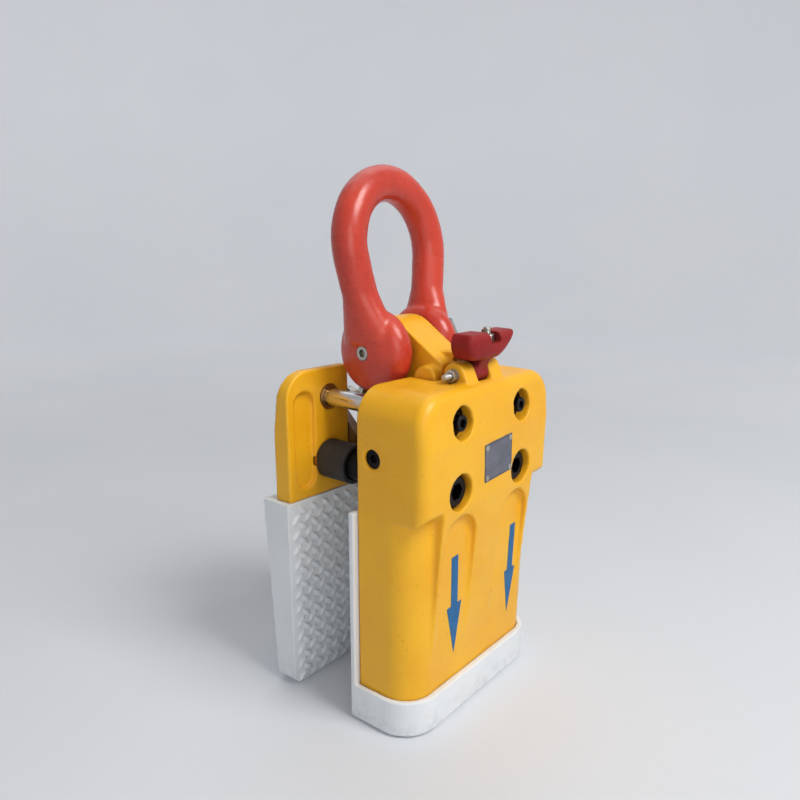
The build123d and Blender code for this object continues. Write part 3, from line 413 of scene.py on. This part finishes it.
def bridge(shape, near, far):
    """Faces between two rings of points."""
    count = len(near)
    for index in range(count):
        after = (index + 1) % count
        shape.faces.new((near[index], near[after], far[after], far[index]))


def built(name, shape):
    """The mesh of a finished bmesh, with its faces turned outwards."""
    bmesh.ops.recalc_face_normals(shape, faces=shape.faces)
    mesh = bpy.data.meshes.new(name)
    shape.to_mesh(mesh)
    shape.free()
    return mesh


def shade_smooth(mesh):
    mesh.polygons.foreach_set("use_smooth", [True] * len(mesh.polygons))


# Castings, forgings and mouldings

WELD = 1e-6
LUMPS_PER_METRE = 55.0


def roughened(mesh, lumps):
    """Moves the points in and out by smooth noise, as on a cast or forged surface."""
    decay, spread, octaves = 1.0, 2.0, 3
    normals = [item.vector.copy() for item in mesh.vertex_normals]
    places = [vertex.co.copy() for vertex in mesh.vertices]
    moved = []
    for place, normal in zip(places, normals):
        height = noise.fractal(place * LUMPS_PER_METRE, decay, spread, octaves)
        moved.extend(place + normal * height * lumps * MM)
    mesh.vertices.foreach_set("co", moved)
    mesh.update()


def softened(node, voxel, rounds, lumps, kept):
    """A solid with blended corners and slight unevenness, in place of its sharp node.

    voxel and lumps are in mm, rounds is how often the corners are smoothed, and kept is the share
    of the faces that stays.
    """
    source = bmesh.new()
    source.from_mesh(nodes[node].data)
    bmesh.ops.remove_doubles(source, verts=source.verts, dist=WELD)
    mesh = bpy.data.meshes.new(node + "_soft")
    source.to_mesh(mesh)
    source.free()
    shape = bpy.data.objects.new(node + "_shape", mesh)
    scene.collection.objects.link(shape)
    remesh = shape.modifiers.new("remesh", "REMESH")
    remesh.mode = "VOXEL"
    remesh.voxel_size = voxel * MM
    remesh.use_smooth_shade = True
    smooth = shape.modifiers.new("smooth", "SMOOTH")
    smooth.factor = 0.5
    smooth.iterations = rounds
    if kept < 1.0:
        thinned = shape.modifiers.new("thinned", "DECIMATE")
        thinned.ratio = kept
    graph = bpy.context.evaluated_depsgraph_get()
    result = bpy.data.meshes.new_from_object(shape.evaluated_get(graph))
    bpy.data.objects.remove(shape)
    roughened(result, lumps)
    result.materials.clear()
    in_place_of(node, node + "_form", result)


softened("shackle_bow", voxel=1.3, rounds=8, lumps=0.25, kept=1.0)
softened("latch_lever", voxel=0.7, rounds=5, lumps=0.15, kept=1.0)
softened("lifting_lug", voxel=1.0, rounds=4, lumps=0.12, kept=0.5)
softened("front_casing", voxel=1.1, rounds=3, lumps=0.1, kept=0.4)
softened("rear_jaw", voxel=1.1, rounds=4, lumps=0.12, kept=0.4)
softened("front_boot", voxel=0.9, rounds=2, lumps=0.15, kept=0.4)
softened("rear_boot", voxel=0.9, rounds=2, lumps=0.15, kept=0.4)
softened("rod_buffers", voxel=0.8, rounds=4, lumps=0.1, kept=0.5)


# Threads and chamfered hexagons of the latch's fasteners; sizes in mm

RING_POINTS = 48
RINGS_PER_PITCH = 6
BORE_CHAMFER = 0.4
SHARP_ANGLE = math.radians(32)
PIVOT_RADIUS, PIVOT_PITCH, PIVOT_THREAD = 2.5, 0.8, 16.0
PIVOT_HEX, PIVOT_HEAD = 4.24, 3.2
STOP_RADIUS, STOP_PITCH, STOP_HEX = 3.0, 1.0, 4.98


def hexagon(apothem, limit):
    """Radius of a hexagon at an angle, cut off by a round limit."""
    half = math.pi / 6

    def radius(angle):
        return min(apothem / math.cos((angle + half) % (2 * half) - half), limit)

    return radius


def hex_stations(start, height, apothem):
    """Rings of a hexagon with both ends chamfered at 30 degrees."""
    slope = math.pi / 6
    corner = apothem / math.cos(slope)
    face = 0.95 * apothem
    rise = (corner - face) * math.tan(slope)
    limits = [(share, face + (corner - face) * share) for share in (0.0, 0.25, 0.5, 0.75, 1.0)]
    rings = [(start + rise * share, hexagon(apothem, limit)) for share, limit in limits]
    rings += [
        (start + height - rise * share, hexagon(apothem, limit))
        for share, limit in reversed(limits)
    ]
    return rings


def thread_stations(start, length, outer, pitch):
    """Rings of a screw thread whose radius follows the helix, tapered at both ends."""
    depth = 0.6 * pitch
    count = int(length / pitch * RINGS_PER_PITCH)
    rings = []
    for step in range(count + 1):
        run = length * step / count
        limit = outer - depth + min(run, length - run)

        def radius(angle, run=run, limit=limit):
            phase = (run / pitch - angle / (2 * math.pi)) % 1.0
            return min(outer - depth * abs(2 * phase - 1), limit)

        rings.append((start + run, radius))
    return rings


def axis_of(node, axis):
    """Start of a node's own axis, and its length in mm."""
    low, high = (Vector(corner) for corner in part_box(node))
    start = (low + high) / 2
    start[axis] = low[axis]
    return start, (high[axis] - low[axis]) / MM


def turned(name, node, axis, stations, bore=None):
    """Rings of points along a node's axis, joined into a closed body in place of the node."""
    start = axis_of(node, axis)[0]
    along = Vector([float(index == axis) for index in (X, Y, Z)])
    across = along.orthogonal().normalized()
    beside = along.cross(across)
    if bore:
        first, last = stations[0][0], stations[-1][0]
        stations = [(first + BORE_CHAMFER, bore), (first, bore + BORE_CHAMFER)] + stations
        stations += [(last, bore + BORE_CHAMFER), (last - BORE_CHAMFER, bore)]
    shape = bmesh.new()
    rings = []
    for run, radius in stations:
        ring = []
        for index in range(RING_POINTS):
            angle = 2 * math.pi * index / RING_POINTS
            size = radius(angle) if callable(radius) else radius
            way = across * math.cos(angle) + beside * math.sin(angle)
            ring.append(shape.verts.new(start + (along * run + way * size) * MM))
        rings.append(ring)
    pairs = list(zip(rings, rings[1:]))
    if bore:
        pairs.append((rings[-1], rings[0]))
    else:
        shape.faces.new(rings[0])
        shape.faces.new(rings[-1])
    for near, far in pairs:
        bridge(shape, near, far)
    mesh = built(name, shape)
    shade_smooth(mesh)
    mesh.set_sharp_from_angle(angle=SHARP_ANGLE)
    in_place_of(node, name, mesh)


nut_height = axis_of("latch_pivot_nut", X)[1]
nut_rings = hex_stations(0.0, nut_height, PIVOT_HEX)
turned("pivot_nut", "latch_pivot_nut", X, nut_rings, PIVOT_RADIUS)

bolt_length = axis_of("latch_pivot_bolt", X)[1]
under_head = bolt_length - PIVOT_HEAD
bolt_rings = thread_stations(0.0, PIVOT_THREAD, PIVOT_RADIUS, PIVOT_PITCH)
bolt_rings += [(PIVOT_THREAD, PIVOT_RADIUS), (under_head, PIVOT_RADIUS)]
bolt_rings += hex_stations(under_head, PIVOT_HEAD, PIVOT_HEX)
turned("pivot_bolt", "latch_pivot_bolt", X, bolt_rings)

nut_height = axis_of("latch_stop_nut", Z)[1]
nut_rings = hex_stations(0.0, nut_height, STOP_HEX)
turned("stop_nut", "latch_stop_nut", Z, nut_rings, STOP_RADIUS)

bolt_length = axis_of("latch_stop_bolt", Z)[1]
bolt_rings = thread_stations(0.0, bolt_length, STOP_RADIUS, STOP_PITCH)
turned("stop_bolt", "latch_stop_bolt", Z, bolt_rings)


# Raised rim of the bare name plate; sizes in mm

PLATE_CENTRE_X, PLATE_CENTRE_Z = 6.5, 208.5
PLATE_TILT = math.radians(3.6)
RIM_SINK, RIM_BEVEL = 0.1, 0.1


def plate_rim(width, height, band, proud):
    """A band round the edge of the plate that stands a little proud of it."""
    face_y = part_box("name_plate")[0][Y]
    shape = bmesh.new()

    def corner(across, rise, out):
        x = PLATE_CENTRE_X + across * math.cos(PLATE_TILT) - rise * math.sin(PLATE_TILT)
        z = PLATE_CENTRE_Z + across * math.sin(PLATE_TILT) + rise * math.cos(PLATE_TILT)
        return shape.verts.new((x * MM, face_y - out * MM, z * MM))

    section = (
        (0.0, -RIM_SINK),
        (RIM_BEVEL, proud),
        (band - RIM_BEVEL, proud),
        (band, -RIM_SINK),
    )
    loops = []
    for inset, out in section:
        half_x, half_z = width / 2 - inset, height / 2 - inset
        signs = ((-1, -1), (1, -1), (1, 1), (-1, 1))
        loops.append([corner(sx * half_x, sz * half_z, out) for sx, sz in signs])
    for near, far in zip(loops, loops[1:] + loops[:1]):
        bridge(shape, near, far)
    piece("plate_rim", built("plate_rim", shape), border, "front_jaw")


plate_rim(width=37.0, height=29.0, band=0.7, proud=0.12)


# Arrows on the flutes, pointing at the grip; sizes in mm

FILM = 0.25
FLUTE_LOW_Z, FLUTE_LOW_DEPTH = 62.0, 9.0
FLUTE_HIGH_Z, FLUTE_HIGH_DEPTH = 174.0, 6.5
casing_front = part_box("front_casing")[0][Y]
flute_low = Vector((0.0, casing_front + FLUTE_LOW_DEPTH * MM, FLUTE_LOW_Z * MM))
flute_high = Vector((0.0, casing_front + FLUTE_HIGH_DEPTH * MM, FLUTE_HIGH_Z * MM))


def on_flute(x, z):
    """Point on the slanted floor of the flutes."""
    share = max(0.0, (z * MM - flute_low.z) / (flute_high.z - flute_low.z))
    return Vector((x * MM, flute_low.y + share * (flute_high.y - flute_low.y), z * MM))


def arrow(name, start, end, shaft, head, head_length):
    """Flat film cut as an arrow from start to end (x, z), with a thin edge."""
    start, end = Vector(start), Vector(end)
    along = (end - start).normalized()
    across = Vector((-along.y, along.x))
    neck = end - along * head_length
    outline = [
        start + across * shaft / 2,
        neck + across * shaft / 2,
        neck + across * head / 2,
        end,
        neck - across * head / 2,
        neck - across * shaft / 2,
        start - across * shaft / 2,
    ]
    outward = Vector((0.0, -FILM * MM, 0.0))
    shape = bmesh.new()
    under = [shape.verts.new(on_flute(*point)) for point in outline]
    outer = [shape.verts.new(on_flute(*point) + outward) for point in outline]
    shape.faces.new(under)
    shape.faces.new(outer)
    bridge(shape, under, outer)
    piece(name, built(name, shape), blue, "front_jaw")


arrow("arrow_left", (-37.0, 140.0), (-32.0, 54.0), shaft=8.5, head=19.0, head_length=44.0)
arrow("arrow_right", (46.5, 140.0), (48.0, 56.0), shaft=8.0, head=16.5, head_length=42.0)


# Camera at the photograph's viewing angle

CAMERA_PLACE = (-0.4378, -0.3460, 0.3666)
CAMERA_AHEAD = (0.7683, 0.5530, -0.3222)
CAMERA_RIGHT = (0.5913, -0.8060, 0.0267)

camera_data = bpy.data.cameras.new("camera")
camera_data.lens = 32.02
camera_data.sensor_width = 36.0
camera_data.shift_x = -0.0526
camera_data.shift_y = 0.0977
camera_data.clip_start = 0.01
camera = bpy.data.objects.new("camera", camera_data)
scene.collection.objects.link(camera)
backward = -Vector(CAMERA_AHEAD).normalized()
upward = backward.cross(Vector(CAMERA_RIGHT).normalized()).normalized()
turn = Matrix((upward.cross(backward), upward, backward)).transposed()
camera.matrix_world = Matrix.Translation(CAMERA_PLACE) @ turn.to_4x4()
scene.camera = camera


# Floor, lamps and surroundings; sizes in m

FLOOR_RADIUS, FLOOR_BEND, WALL_TOP = 2.2, 0.9, 2.5
FLOOR_SIDES, BEND_STEPS = 96, 12
LAMP_AIM = Vector((0.0, 0.0, 0.2))


def looked_at(tree):
    """Socket that is 1 for what the eye, a mirror or glass sees, and 0 for light on the object."""
    path = tree.nodes.new("ShaderNodeLightPath")
    total = path.outputs["Is Camera Ray"]
    for name in ("Is Glossy Ray", "Is Transmission Ray"):
        either = tree.nodes.new("ShaderNodeMath")
        either.operation = "MAXIMUM"
        tree.links.new(total, either.inputs[0])
        tree.links.new(path.outputs[name], either.inputs[1])
        total = either.outputs["Value"]
    return total


def stage_material(name, colour, shade, glow):
    """Matt pale paper that looks paler away from the clamp."""
    g = Graph(name)
    tone = g.blend(g.remap(g.noise(scale=1.6, detail=3.0), 0.3, 0.7), colour, shade)
    g.bump([(g.noise(scale=40.0, detail=3.0), 0.2, 0.1)])
    away = g.remap(g.distance(), 0.2, 2.3, 0.04, glow)
    paler = g.math("MULTIPLY", looked_at(g.tree), away)
    g.join(paler, g.shader.inputs["Emission Strength"])
    g.shader.inputs["Emission Color"].default_value = (0.94, 0.96, 1.0, 1.0)
    return g.finish(tone, g.remap(g.noise(scale=3.0, detail=2.0), 0.3, 0.7, 0.5, 0.6))


def round_floor():
    """Floor that curves up into a low wall on every side."""
    # Rings close to the bend keep the smooth shading of the flat part even.
    profile = [(0.7 * FLOOR_RADIUS, 0.0), (FLOOR_RADIUS - 0.05, 0.0), (FLOOR_RADIUS, 0.0)]
    for step in range(1, BEND_STEPS + 1):
        angle = step * math.pi / (2 * BEND_STEPS)
        run = FLOOR_RADIUS + FLOOR_BEND * math.sin(angle)
        profile.append((run, FLOOR_BEND * (1 - math.cos(angle))))
    profile.append((FLOOR_RADIUS + FLOOR_BEND, WALL_TOP))
    angles = [2 * math.pi * index / FLOOR_SIDES for index in range(FLOOR_SIDES)]
    shape = bmesh.new()
    rings = [
        [shape.verts.new((run * math.cos(a), run * math.sin(a), rise)) for a in angles]
        for run, rise in profile
    ]
    shape.faces.new(rings[0])
    for near, far in zip(rings, rings[1:]):
        bridge(shape, near, far)
    mesh = built("floor", shape)
    shade_smooth(mesh)
    mesh.materials.append(stage_material("floor", rgb(222, 224, 228), rgb(217, 220, 225), 0.3))
    obj = bpy.data.objects.new("floor", mesh)
    scene.collection.objects.link(obj)


def light(name, kind, power, towards, place=(0.0, 0.0, 0.0)):
    data = bpy.data.lights.new(name, kind)
    data.energy = power
    obj = bpy.data.objects.new(name, data)
    obj.location = place
    obj.rotation_euler = Vector(towards).to_track_quat("-Z", "Y").to_euler()
    scene.collection.objects.link(obj)
    return data


def soft_lamp(name, place, power, size, colour=WHITE):
    """Round area lamp that points at the clamp."""
    data = light(name, "AREA", power, LAMP_AIM - Vector(place), place)
    data.shape = "DISK"
    data.size = size
    data.color = colour


def studio_world(fill, seen):
    """Even pale surroundings: a soft fill on the object, paler where they are seen or mirrored."""
    world = bpy.data.worlds.new("studio")
    world.use_nodes = True
    tree = world.node_tree
    background = tree.nodes["Background"]
    background.inputs["Color"].default_value = (0.9, 0.93, 0.97, 1.0)
    strength = tree.nodes.new("ShaderNodeMapRange")
    tree.links.new(looked_at(tree), strength.inputs["Value"])
    strength.inputs["To Min"].default_value = fill
    strength.inputs["To Max"].default_value = seen
    tree.links.new(strength.outputs["Result"], background.inputs["Strength"])
    scene.world = world


round_floor()
soft_lamp("key", (0.05, -1.35, 1.85), power=33.0, size=1.0, colour=(1.0, 0.99, 0.97))
soft_lamp("fill", (-1.0, -1.2, 0.8), power=4.2, size=1.0)
soft_lamp("top", (0.15, 0.2, 1.9), power=4.0, size=1.4)
back_light = light("back", "SUN", power=0.75, towards=(-0.7, -0.6, -0.6))
back_light.angle = 1.2
studio_world(fill=0.09, seen=0.55)
scene.view_settings.view_transform = "Standard"
